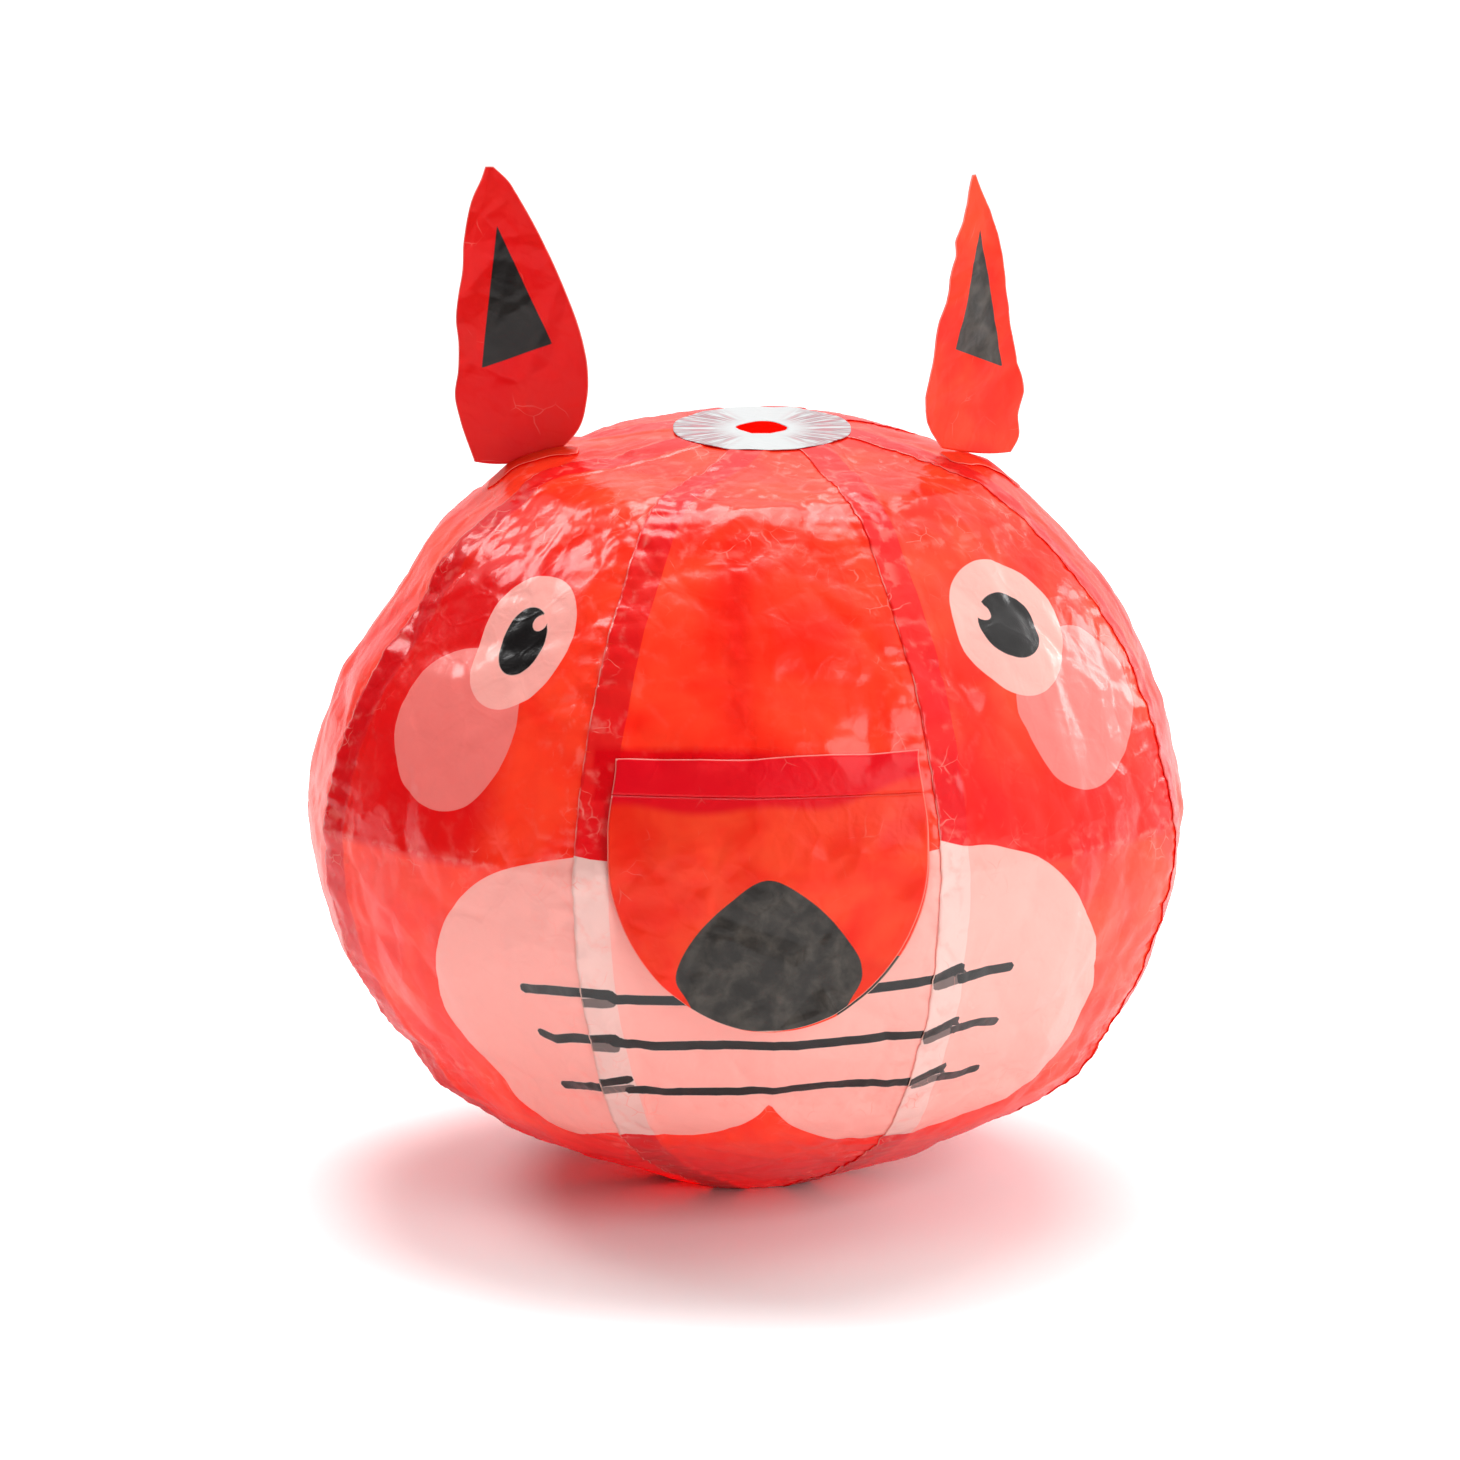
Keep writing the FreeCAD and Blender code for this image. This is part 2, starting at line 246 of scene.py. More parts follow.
def paper_shader(tree, colour, gloss, see_through, bump_strength, shine):
    """Waxed paper: a glossy coated sheet that lets part of the light through, finely crinkled."""
    crumbs = mottle(tree, 3.2, 4.0, 0.6)
    folds = maths(tree, "MULTIPLY", crackle(tree, 9.0, 0.9), 0.25)
    crinkle = add_node(
        tree,
        "ShaderNodeBump",
        Strength=bump_strength,
        Distance=0.0004,
        Height=maths(tree, "ADD", crumbs, folds),
    ).outputs["Normal"]
    surface = add_node(
        tree,
        "ShaderNodeBsdfPrincipled",
        Base_Color=colour,
        Roughness=gloss,
        Specular_IOR_Level=shine,
        Coat_Weight=shine / 2,
        Coat_Roughness=0.07,
        Normal=crinkle,
    )
    filtered = mix(tree, 1.0, colour, colour, "MULTIPLY")
    through = add_node(tree, "ShaderNodeBsdfTranslucent", Color=filtered, Normal=crinkle)
    bsdfs = {"in_1": surface.outputs[0], "in_2": through.outputs[0]}
    both = add_node(tree, "ShaderNodeMixShader", in_0=see_through, **bsdfs)
    add_node(tree, "ShaderNodeOutputMaterial", Surface=both.outputs[0])


# Glassine printed with red ink: smooth supercalendered paper that shines and glows with the light
# behind it. Where two sheets lap, the red doubles to crimson and the pale print turns whiter.
RED = "#FA2A14"
RED_BRIGHT = "#FF5530"
CRIMSON = "#F40022"
# Painted shade: a deeper red laid over the paper where it lies in shade.
PAINTED_SHADE_RED = "#F00212"
PALE = "#FBCDC2"
PALE_DOUBLE = "#FBE0D8"
ROSE = "#F8968D"
INK = "#100C0B"
INK_THROUGH = "#8E7A76"
CRACKS_AND_HIGHLIGHTS = "#FFB4A4"
CUT_EDGE = "#FFC9B8"
SEE_THROUGH = 0.45


def printed_glassine():
    """The gores' paper, with the print, the laps, the wear and the painted shade that its points carry, and a
    painted highlight along its ridges and creases.
    """
    material, tree = new_material("printed_glassine")
    margin = mark(tree, "margin")
    wear = mark(tree, "wear")
    lap = maths(tree, "SUBTRACT", 1.0, step(tree, margin, LAP - 0.1, LAP + 0.1))
    red = mix(tree, step(tree, mottle(tree, 26.0, 3.0, 0.5), 0.3, 0.7), linear(RED), linear(RED_BRIGHT))
    red = mix(tree, maths(tree, "MULTIPLY", lap, 0.7), red, linear(CRIMSON))
    # Painted shade: deeper red where the points carry it.
    red = mix(tree, mark(tree, "painted_shade"), red, linear(PAINTED_SHADE_RED))
    pale = mix(tree, lap, linear(PALE), linear(PALE_DOUBLE))
    colour = mix(tree, step(tree, mark(tree, "rose"), -0.12, 0.12), red, linear(ROSE))
    colour = mix(tree, step(tree, mark(tree, "pale"), -0.12, 0.12), colour, pale)
    colour = mix(tree, step(tree, mark(tree, "ghost"), -0.15, 0.15), colour, linear(INK_THROUGH))
    colour = mix(tree, step(tree, mark(tree, "dark"), -0.12, 0.12), colour, linear(INK))
    plain = maths(tree, "SUBTRACT", 1.0, step(tree, mark(tree, "dark"), -0.4, 0.0))
    broken = step(tree, mottle(tree, 9.0, 4.0), 0.54, 0.68)
    lines = maths(tree, "MULTIPLY", crackle(tree, 5.0, 0.2), broken)
    cracks = maths(tree, "MULTIPLY", maths(tree, "MULTIPLY", lines, wear), plain)
    colour = mix(tree, maths(tree, "MULTIPLY", cracks, 0.6), colour, linear(CRACKS_AND_HIGHLIGHTS))
    # Painted highlight: a paler line along the crumples' ridges and the cross creases.
    ridge_highlight = maths(tree, "MULTIPLY", mark(tree, "ridge"), step(tree, mottle(tree, 4.0), 0.45, 0.62))
    ridge_highlight = maths(tree, "MULTIPLY", ridge_highlight, plain)
    colour = mix(tree, maths(tree, "MULTIPLY", ridge_highlight, 0.35), colour, linear(CRACKS_AND_HIGHLIGHTS))
    edge = maths(tree, "SUBTRACT", 1.0, step(tree, margin, 0.2, 0.4))
    edge = maths(tree, "MULTIPLY", edge, step(tree, mottle(tree, 7.0), 0.38, 0.6))
    colour = mix(tree, maths(tree, "MULTIPLY", edge, 0.6), colour, linear(CUT_EDGE))
    gloss = maths(tree, "ADD", 0.17, maths(tree, "MULTIPLY", mottle(tree, 12.0), 0.14))
    clear = maths(tree, "SUBTRACT", 1.0, step(tree, mark(tree, "dark"), -0.1, 0.1))
    see_through = maths(tree, "MULTIPLY", SEE_THROUGH, clear)
    paper_shader(tree, colour, gloss, see_through, 0.32, 0.4)
    return material


def dyed_paper():
    """The same red paper cut to a flat shape, with its print, its glued band, its pale cut edge and painted
    shade where its points carry it.
    """
    material, tree = new_material("dyed_glassine")
    red = mix(tree, step(tree, mottle(tree, 18.0, 3.0, 0.3), 0.3, 0.7), linear(RED), linear(RED_BRIGHT))
    stuck = maths(tree, "MULTIPLY", step(tree, mark(tree, "glued"), -1.3, 1.1), 0.9)
    red = mix(tree, stuck, red, linear(CRIMSON))
    # Painted shade: deeper red paper and darker print where the points carry it.
    red = mix(tree, mark(tree, "painted_shade"), red, linear(PAINTED_SHADE_RED))
    ink = mix(tree, step(tree, mottle(tree, 5.0, 6.0, 0.3), 0.35, 0.8), linear("#24201D"), linear("#47413B"))
    ink = mix(tree, mark(tree, "painted_shade"), ink, linear(INK))
    colour = mix(tree, step(tree, mark(tree, "dark"), -0.12, 0.12), red, ink)
    plain = maths(tree, "SUBTRACT", 1.0, step(tree, mark(tree, "dark"), -0.4, 0.0))
    lines = maths(tree, "MULTIPLY", crackle(tree, 8.0, 0.2), step(tree, mottle(tree, 11.0), 0.55, 0.68))
    lines = maths(tree, "MULTIPLY", lines, plain)
    colour = mix(tree, maths(tree, "MULTIPLY", lines, 0.22), colour, linear(CRACKS_AND_HIGHLIGHTS))
    edge = maths(tree, "SUBTRACT", 1.0, step(tree, mark(tree, "margin"), 0.1, 0.35))
    colour = mix(tree, maths(tree, "MULTIPLY", edge, 0.5), colour, linear(CUT_EDGE))
    gloss = maths(tree, "ADD", 0.3, maths(tree, "MULTIPLY", mottle(tree, 12.0), 0.14))
    clear = maths(tree, "SUBTRACT", 1.0, step(tree, mark(tree, "dark"), -0.1, 0.1))
    see_through = maths(tree, "MULTIPLY", SEE_THROUGH, clear)
    paper_shader(tree, colour, gloss, see_through, 0.35, 0.22)
    return material


def silvered_paper():
    """White paper brushed with silver in radial streaks, with greyish-pink painted reflections streaked over
    both sides.
    """
    material, tree = new_material("silvered_paper")
    streaks = add_node(
        tree,
        "ShaderNodeTexNoise",
        {"noise_dimensions": "2D"},
        Vector=add_node(tree, "ShaderNodeUVMap", {"uv_map": "round"}).outputs[0],
        Scale=9.0,
        Detail=4.0,
    ).outputs["Fac"]
    # Painted reflection: the disc's sides are streaked greyish pink where the silver would mirror the ears.
    shade = maths(tree, "MULTIPLY", mark(tree, "shade"), step(tree, streaks, 0.38, 0.55))
    tint = mix(tree, step(tree, streaks, 0.4, 0.65), linear("#6A6268"), linear("#A8686F"))
    colour = mix(tree, shade, linear("#BBBEBE"), tint)
    paper_shader(tree, colour, 0.3, 0.12, 0.3, 0.4)
    return material


def matt_board():
    """The pale floor."""
    material, tree = new_material("matt_board")
    surface = add_node(tree, "ShaderNodeBsdfPrincipled", Base_Color=linear("#FBFAFA"), Roughness=0.85)
    add_node(tree, "ShaderNodeOutputMaterial", Surface=surface.outputs[0])
    return material


# ---- the ball's form ---------------------------------------------------------------------------

PAPER = 0.12
LIFT = 0.32
LAP = 8.5
GORES = [
    "front_gore",
    "front_right_gore",
    "right_gore",
    "rear_right_gore",
    "rear_gore",
    "rear_left_gore",
    "left_gore",
    "front_left_gore",
]
SECTOR = 360 / len(GORES)
FRONT_SEAM = -90 - SECTOR / 2

# The ball's lower paper runs just under the crown disc and just over the base disc.
CROWN_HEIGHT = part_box("crown_disc")[0].z / MM - 0.35
BASE_HEIGHT = 0.6
CAD_FACET = math.cos(math.pi / 24)
EQUATOR_RADIUS = (cad_high.x - cad_low.x) / 2 / MM / CAD_FACET
EQUATOR_HEIGHT = 97.0
RIM_RADIUS = 23.2
SHOULDER_RADIUS = 63
SHOULDER_DROP = 9
GORE_END_RADIUS = 15.0
SNOUT_SHIFT = 2.6

# The cross creases as (radius, height). Each stretch of a seam is a crease, the middle of the bulge
# below it and the next crease.
RIM = (RIM_RADIUS, CROWN_HEIGHT)
SHOULDER = (SHOULDER_RADIUS, CROWN_HEIGHT - SHOULDER_DROP)
UPPER_CREASE = (74, CROWN_HEIGHT - 18)
EQUATOR = (EQUATOR_RADIUS, EQUATOR_HEIGHT)
LOWER_CREASE = (92.5, 39)
BASE_RIM = (RIM_RADIUS, BASE_HEIGHT)
STRETCHES = [
    (RIM, (44.5, CROWN_HEIGHT - 3.6), SHOULDER),
    (SHOULDER, (68.9, CROWN_HEIGHT - 13), UPPER_CREASE),
    (UPPER_CREASE, (101, 133.5), EQUATOR),
    (EQUATOR, (108, 68), LOWER_CREASE),
    (LOWER_CREASE, (70, 19.5), BASE_RIM),
]


def bulge(start, middle, end):
    """Points on the parabola through three places."""
    start, middle, end = (np.array(point, float) for point in (start, middle, end))
    control = 2 * middle - (start + end) / 2
    t = np.linspace(0, 1, 60)[:, None]
    return (1 - t) ** 2 * start + 2 * t * (1 - t) * control + t**2 * end


def seam_line():
    """A seam's points, the length down to each and the length down to each cross crease."""
    pieces = [np.array([[GORE_END_RADIUS, CROWN_HEIGHT]])]
    pieces += [bulge(*stretch)[:-1] for stretch in STRETCHES]
    pieces.append(np.array([[RIM_RADIUS, BASE_HEIGHT], [GORE_END_RADIUS, BASE_HEIGHT]]))
    points = np.vstack(pieces)
    lengths = np.r_[0, np.cumsum(np.linalg.norm(np.diff(points, axis=0), axis=1))]
    starts = np.cumsum([1] + [len(piece) for piece in pieces[1:-1]])
    return points, lengths, lengths[starts]


SEAM, SEAM_LENGTHS, CREASES = seam_line()
GORE_LENGTH = SEAM_LENGTHS[-1]


def smooth(value, low, high):
    """0 at low, 1 at high, smooth between."""
    t = np.clip((value - low) / (high - low), 0, 1)
    return t * t * (3 - 2 * t)


def seam_radius(down):
    """A seam's distance from the axis, at a length down it from the crown."""
    return np.interp(down, SEAM_LENGTHS, SEAM[:, 0])


def seam_height(down):
    """A seam's height above the floor, at a length down it from the crown."""
    return np.interp(down, SEAM_LENGTHS, SEAM[:, 1])


def roundness(turn):
    """How far out the ball is at an angle, against its seams: flatter between two seams, with a
    slight ridge where the gore was folded lengthwise."""
    half = math.pi / len(GORES)
    from_centre = np.abs(np.mod(np.radians(turn - FRONT_SEAM), 2 * half) - half)
    flat = math.cos(half) / np.cos(from_centre)
    folded = math.cos(half / 2) / np.cos(from_centre - half / 2)
    return 0.3 * flat + 0.35 * folded + 0.35


CROWN_SHIFT = 4.0
CROWN_TILT = 0.085
FACE_LIFT = 3.5

# Where the sides are slack or full: (height, spread, how far inwards), on the left and the right.
LEFT_SLACK = [(177, 8, 5.0), (147, 13, 2.6), (33, 20, 3.2)]
RIGHT_SLACK = [(178, 7, 2.2), (146, 16, -1.8), (30, 20, -1.5)]


def face_rise(y, z):
    """How far the face's middle rides up."""
    forward = np.clip(-y / EQUATOR_RADIUS, 0, None)
    return FACE_LIFT * forward**1.5 * np.clip(1 - ((z - EQUATOR_HEIGHT) / 91) ** 2, 0, None)


def dents(z, places):
    """How far inwards a side sags at a height, summed over its slack places."""
    return sum(depth * np.exp(-(((z - height) / spread) ** 2)) for height, spread, depth in places)


def settle(points):
    """The hand-made ball's unevenness: the face's cross crease rides up, the sides are slack in
    places, and the crown sits to one side and tips forward."""
    x, y, z = points.T
    top = smooth(60 - np.hypot(x, y), 0, 36) * smooth(z, 150, 180)
    inwards = dents(z, LEFT_SLACK) * smooth(-x, 38, 74) - dents(z, RIGHT_SLACK) * smooth(x, 38, 74)
    return np.stack([x + CROWN_SHIFT * top + inwards, y, z + face_rise(y, z) + CROWN_TILT * y * top], 1)


def ball(turn, down, out=0.0):
    """Points on the ball, out millimetres outside its lower paper."""
    radius, height = seam_radius(down), seam_height(down)
    reach = 0.6
    run = seam_radius(down + reach) - seam_radius(down - reach)
    rise = seam_height(down + reach) - seam_height(down - reach)
    length = np.hypot(run, rise)
    radius = radius * roundness(turn) - out * rise / length
    angle = np.radians(turn)
    return settle(np.stack([radius * np.cos(angle), radius * np.sin(angle), height + out * run / length], 1))


def over_crown(x, y):
    """The turn and the length down of the place on the ball's upper half that is seen from above
    at x and y."""
    turn = np.degrees(np.arctan2(y, x))
    upper = np.argmax(SEAM[:, 0]) + 1
    return turn, np.interp(np.hypot(x, y) / roundness(turn), SEAM[:upper, 0], SEAM_LENGTHS[:upper])


def on_face(x, z):
    """The turn and the length down of the place on the ball's front at x and a height."""
    y = -np.sqrt(EQUATOR_RADIUS**2 - x**2)
    for _ in range(5):
        level = z - face_rise(y, z - face_rise(y, z))
        down = np.interp(-level, -SEAM[:, 1], SEAM_LENGTHS)
        turn = np.degrees(np.arctan2(y, x))
        y = -np.sqrt((seam_radius(down) * roundness(turn)) ** 2 - x**2)
    return turn, down


# ---- crumpled paper ----------------------------------------------------------------------------


def facets(points, size, seed):
    """Heights of crumpled paper: flat facets about size across that meet in sharp creases."""
    shift = Vector((seed * 13.7, seed * 5.3, seed * 9.1))
    heights = np.empty(len(points))
    for i, point in enumerate(points / size):
        nearest = noise.voronoi(Vector(point) + shift, distance_metric="DISTANCE_SQUARED")[0]
        heights[i] = nearest[1] - nearest[0]
    return heights


def crumple(turn, down):
    """How far crumpling moves the ball's paper out, how worn it is there, and its sharp creases."""
    points = ball(turn, down)
    seam_index = np.round((turn - FRONT_SEAM) / SECTOR)
    arc = np.radians(turn - FRONT_SEAM - seam_index * SECTOR) * seam_radius(down)
    from_crease = np.min(np.abs(down[:, None] - CREASES[None, 2:5]), axis=1)
    by_seam = np.exp(-((arc / 9) ** 2))
    by_crease = np.exp(-((from_crease / 6) ** 2))
    crown = 1 - smooth(down, 45, 80)
    crush = np.clip(0.12 + 0.75 * by_seam + 0.4 * by_crease + 0.35 * crown, 0, 1)
    coarse, middle, fine = (facets(points, size, seed) for size, seed in ((24, 1), (9.5, 2), (4.2, 3)))
    pucker = np.sin(down * 1.05 + 2.2 * np.sin(down * 0.13 + seam_index))
    pucker = pucker + 0.6 * np.sin(down * 2.3 + seam_index)
    out = 1.5 * (coarse - 0.75) + 0.75 * (middle - 0.6) * (0.4 + 0.6 * crush) + 0.32 * (fine - 0.6) * crush
    out = out + 0.13 * pucker * np.exp(-((arc / 6) ** 2))
    out = out * smooth(down, 8, 26) * smooth(GORE_LENGTH - down, 8, 26)
    out = out + 1.1 * np.exp(-np.abs(down - CREASES[3]) / 7)
    behind_flap = smooth(points[:, 2], 62, 70) * smooth(127 - points[:, 2], 0, 4) * (points[:, 1] < 0)
    behind_flap = behind_flap * smooth(38 - np.abs(points[:, 0] - SNOUT_SHIFT), 0, 3)
    out = out * (1 - behind_flap) + (0.35 * out - 0.5) * behind_flap
    for joint in ("left_ear_fold", "right_ear_fold"):
        hinge = np.array(JOINTS[joint]["pos_m"]) / MM
        from_fold = (points[:, 0] - hinge[0]) ** 2 + (points[:, 1] - hinge[1]) ** 2
        held = np.exp(-(from_fold / 16**2)) * (down < 120)
        out = out * (1 - held) + 0.45 * held
    wear = np.clip(0.05 + 0.85 * by_seam + 0.7 * by_crease + 0.35 * crown, 0, 1)
    ridge = np.exp(-((middle / 0.10) ** 2)) * crush + 0.8 * np.exp(-((from_crease / 0.7) ** 2))
    return out, wear, np.clip(ridge, 0, 1)


# ---- printed shapes ----------------------------------------------------------------------------


def smooth_outline(corners):
    """A closed smooth curve through the corners, as a polygon."""
    steps = 8
    corners = np.array(corners, float)
    before, after, later = (np.roll(corners, shift, axis=0) for shift in (1, -1, -2))
    curve = []
    for t in np.arange(steps) / steps:
        curve.append(
            0.5
            * (
                2 * corners
                + (after - before) * t
                + (2 * before - 5 * corners + 4 * after - later) * t**2
                + (3 * corners - before - 3 * after + later) * t**3
            )
        )
    return np.stack(curve, 1).reshape(-1, 2)


def distance_to(x, y, line):
    """The distance from each point to a line of points."""
    best = np.full(len(x), 1e9)
    for (x0, y0), (x1, y1) in zip(line[:-1], line[1:]):
        run, rise = x1 - x0, y1 - y0
        t = np.clip(((x - x0) * run + (y - y0) * rise) / max(run * run + rise * rise, 1e-12), 0, 1)
        best = np.minimum(best, np.hypot(x - x0 - t * run, y - y0 - t * rise))
    return best


def patch(x, y, outline):
    """How deep each point lies inside a closed outline, negative outside."""
    inside = np.zeros(len(x), bool)
    closed = np.vstack([outline, outline[:1]])
    for (x0, y0), (x1, y1) in zip(closed[:-1], closed[1:]):
        crosses = (y0 > y) != (y1 > y)
        inside ^= crosses & (x < x0 + (y - y0) * (x1 - x0) / (y1 - y0 if y1 != y0 else 1e-9))
    return np.where(inside, 1, -1) * distance_to(x, y, closed)


def stroke(x, y, line, width):
    """How deep each point lies inside a drawn line."""
    return width / 2 - distance_to(x, y, line)


def oval(x, y, centre, radii, lean=0.0):
    """How deep each point lies inside an oval whose first radius leans anticlockwise."""
    turn = math.radians(lean)
    dx, dy = x - centre[0], centre[1] - y
    along = dx * math.cos(turn) + dy * math.sin(turn)
    aside = dy * math.cos(turn) - dx * math.sin(turn)
    share = np.hypot(along / radii[0], aside / radii[1])
    return (1 - share) * min(radii)


WHISKER = 2.6
NO_PRINT = -9.0

# Prints are (across, down) in their gore's own coordinates, with down 148.4 at the ball's equator.
PRINT_EQUATOR = 148.4
LEFT_MUZZLE = [
    (66, 140),
    (43.7, 144),
    (21, 150.2),
    (7.6, 160),
    (0, 171.6),
    (-3.6, 181),
    (-5, 191),
    (-2.6, 200),
    (2.4, 209),
    (6, 219),
    (14, 229.5),
    (24, 227),
    (34, 223.5),
    (60, 222),
]
FRONT_MUZZLE = [
    (-60, 144),
    (-36, 144.6),
    (0, 144),
    (36, 143.4),
    (60, 143.2),
    (66, 180),
    (60, 224),
    (39, 225),
    (28, 228),
    (18, 224.5),
    (10, 219),
    (6, 214.4),
    (3.6, 211.2),
    (1, 214),
    (-4.5, 219),
    (-15, 224),
    (-34, 224),
    (-60, 226),
    (-66, 180),
]
RIGHT_MUZZLE = [
    (-60, 146),
    (-34, 142.8),
    (-21.8, 145),
    (-10.9, 149.4),
    (1, 160),
    (10.7, 172),
    (15.6, 184),
    (16, 196),
    (10.5, 211),
    (3, 217),
    (-6, 221.5),
    (-22, 227.5),
    (-40, 226),
    (-60, 226),
]
LEFT_CHEEK = [
    (-22.5, 118),
    (-14, 132),
    (-0.5, 137.2),
    (10.3, 135),
    (18.4, 125),
    (18.4, 111),
    (11, 99.6),
    (-6, 96.6),
    (-19, 103),
]
RIGHT_CHEEK = [
    (17.6, 93),
    (31, 101),
    (35.6, 114),
    (28, 126),
    (17, 132.8),
    (6, 134),
    (-4, 129.5),
    (-9.6, 118),
    (-10, 107),
    (-1, 96.5),
]
LEFT_EYE = {"centre": (10.2, 92.5), "radii": (18.4, 15.2), "lean": -87}
LEFT_PUPIL = {"centre": (10.2, 92.6), "radii": (9.3, 7.0), "lean": -87}
LEFT_GLINT = {"centre": (13.4, 87.4), "radii": (2.2, 2.2)}
RIGHT_EYE = {"centre": (-2.3, 90.0), "radii": (19.4, 16.4), "lean": -121}
RIGHT_PUPIL = {"centre": (-2.9, 89.9), "radii": (9.7, 8.2), "lean": -128}
RIGHT_GLINT = {"centre": (-8.2, 85.2), "radii": (2.3, 2.3)}

# Each whisker is printed in pieces that don't quite meet at a lap.
LEFT_WHISKERS = [
    [(25.6, 178.8), (41, 177.6), (60, 178.2)],
    [(26.6, 191), (30, 192.2), (36.5, 191.4), (60, 191)],
    [(25.2, 208.2), (34.3, 206.4), (60, 203)],
]
FRONT_WHISKERS = [
    [(-43.4, 177.4), (-35.4, 177.9)],
    [(-34.4, 179), (-19.2, 178.8), (5, 178), (25, 176.4), (43, 174.8), (60, 174)],
    [(-41.6, 191), (-34.6, 190.4)],
    [(-34.2, 191.4), (-24.9, 192.4), (5.7, 190.8), (41, 190), (60, 189)],
    [(-39, 204.6), (-31, 202.8)],
    [(-30.6, 206.8), (3.6, 206), (17.6, 204.6), (32.7, 205.2), (60, 203)],
]
RIGHT_WHISKERS = [
    [(-43.4, 175), (-35.2, 172.6)],
    [(-34.4, 175.4), (-27, 174.8), (-19.6, 174.4)],
    [(-40.6, 190.4), (-32.4, 187)],
    [(-31.4, 189.8), (-24, 189), (-18.4, 190)],
    [(-37, 205), (-29, 202)],
    [(-28, 205.2), (-22, 205.8), (-17.4, 204.8)],
]
FRONT_GHOSTS = [[(-43, 180.4), (-35.2, 180)], [(-41, 193.4), (-34.2, 193)], [(-38, 207), (-30.6, 206)]]
RIGHT_GHOSTS = [[(-41, 176.4), (-34.8, 175.2)], [(-38.6, 191.6), (-32, 189.8)], [(-35, 206.4), (-28.6, 205)]]


def strokes(across, down, lines):
    """How deep each point lies inside the nearest of several brushed lines."""
    return np.max([stroke(across, down, line, WHISKER) for line in lines], axis=0)


def face_of_left_gore(across, down):
    """The left eye, cheek, muzzle lobe and whisker ends, and painted shade over most of the gore above the
    equator.
    """
    glint = oval(across, down, **LEFT_GLINT)
    pupil = np.minimum(oval(across, down, **LEFT_PUPIL), -glint)
    muzzle = patch(across, down, smooth_outline(LEFT_MUZZLE))
    return {
        "pale": np.maximum(muzzle, oval(across, down, **LEFT_EYE)),
        "rose": patch(across, down, smooth_outline(LEFT_CHEEK)),
        "dark": np.maximum(pupil, strokes(across, down, LEFT_WHISKERS)),
        # Painted shade: deeper red over all but the gore's right edge, from above the eye down to the
        # equator.
        "painted_shade": 0.85 * smooth(down, 55, 80) * smooth(24 - across, 0, 14) * smooth(150.5 - down, 0, 2),
    }


def face_of_front_gore(across, down):
    """The muzzle's middle and the whiskers' middles. Painted shade makes the red deeper down the lengthwise
    fold and in a band on the left above the flap."""
    # Painted shade down the lengthwise fold and in a band on the left above the flap.
    fold = np.exp(-(((across + 4) / 4) ** 2)) * smooth(down, 58, 70) * smooth(118 - down, 0, 10) * 0.5
    band = smooth(down, 116.6, 118.4) * smooth(14 - across, 0, 18) * smooth(across, -39.5, -38.5)
    return {
        "pale": patch(across, down, smooth_outline(FRONT_MUZZLE)),
        "dark": strokes(across, down, FRONT_WHISKERS),
        "ghost": strokes(across, down, FRONT_GHOSTS),
        "painted_shade": np.maximum(fold, band * (down < 130)),
    }


def face_of_right_gore(across, down):
    """The right eye, cheek, muzzle lobe and whisker ends, and painted shade low on the gore above the
    equator.
    """
    glint = oval(across, down, **RIGHT_GLINT)
    pupil = np.minimum(oval(across, down, **RIGHT_PUPIL), -glint)
    muzzle = patch(across, down, smooth_outline(RIGHT_MUZZLE))
    return {
        "pale": np.maximum(muzzle, oval(across, down, **RIGHT_EYE)),
        "rose": patch(across, down, smooth_outline(RIGHT_CHEEK)),
        "dark": np.maximum(pupil, strokes(across, down, RIGHT_WHISKERS)),
        "ghost": strokes(across, down, RIGHT_GHOSTS),
        # Painted shade: deeper red low on the gore, just above the equator.
        "painted_shade": 0.7 * smooth(down, 112, 136) * smooth(150.5 - down, 0, 2),
    }


FACES = {
    "front_left_gore": face_of_left_gore,
    "front_gore": face_of_front_gore,
    "front_right_gore": face_of_right_gore,
}

# ---- sheets of paper ---------------------------------------------------------------------------


def paper_sheet(name, node, body, material, cells, shape, closed=False):
    """A sheet that stands for a CAD node. Shape gives, from across and down in 0 to 1, the points
    of its middle and the named values that they carry. Cells are the grid's columns and rows."""
    bpy.ops.mesh.primitive_grid_add(x_subdivisions=cells[0], y_subdivisions=cells[1], size=2)
    piece = bpy.context.object
    piece.name = name
    flat = np.empty(len(piece.data.vertices) * 3, np.float32)
    piece.data.vertices.foreach_get("co", flat)
    u, v = (flat.reshape(-1, 3)[:, :2].T.astype(float) + 1) / 2
    points, marks = shape(u, v)
    piece.data.vertices.foreach_set("co", (points * MM).astype(np.float32).ravel())
    for mark_name, values in marks.items():
        attribute = piece.data.attributes.new(mark_name, "FLOAT", "POINT")
        attribute.data.foreach_set("value", np.asarray(values, np.float32))
    piece.data.update()
    piece.data.materials.append(material)
    if closed:
        bpy.ops.object.mode_set(mode="EDIT")
        bpy.ops.mesh.select_all(action="SELECT")
        bpy.ops.mesh.remove_doubles(threshold=1e-6)
        bpy.ops.object.mode_set(mode="OBJECT")
    thickness = piece.modifiers.new("thickness", "SOLIDIFY")
    thickness.thickness = PAPER * MM
    thickness.offset = 0
    bpy.ops.object.modifier_apply(modifier=thickness.name)
    bpy.ops.object.shade_smooth()
    piece.select_set(False)
    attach(piece, body)
    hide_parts(node)
    return piece


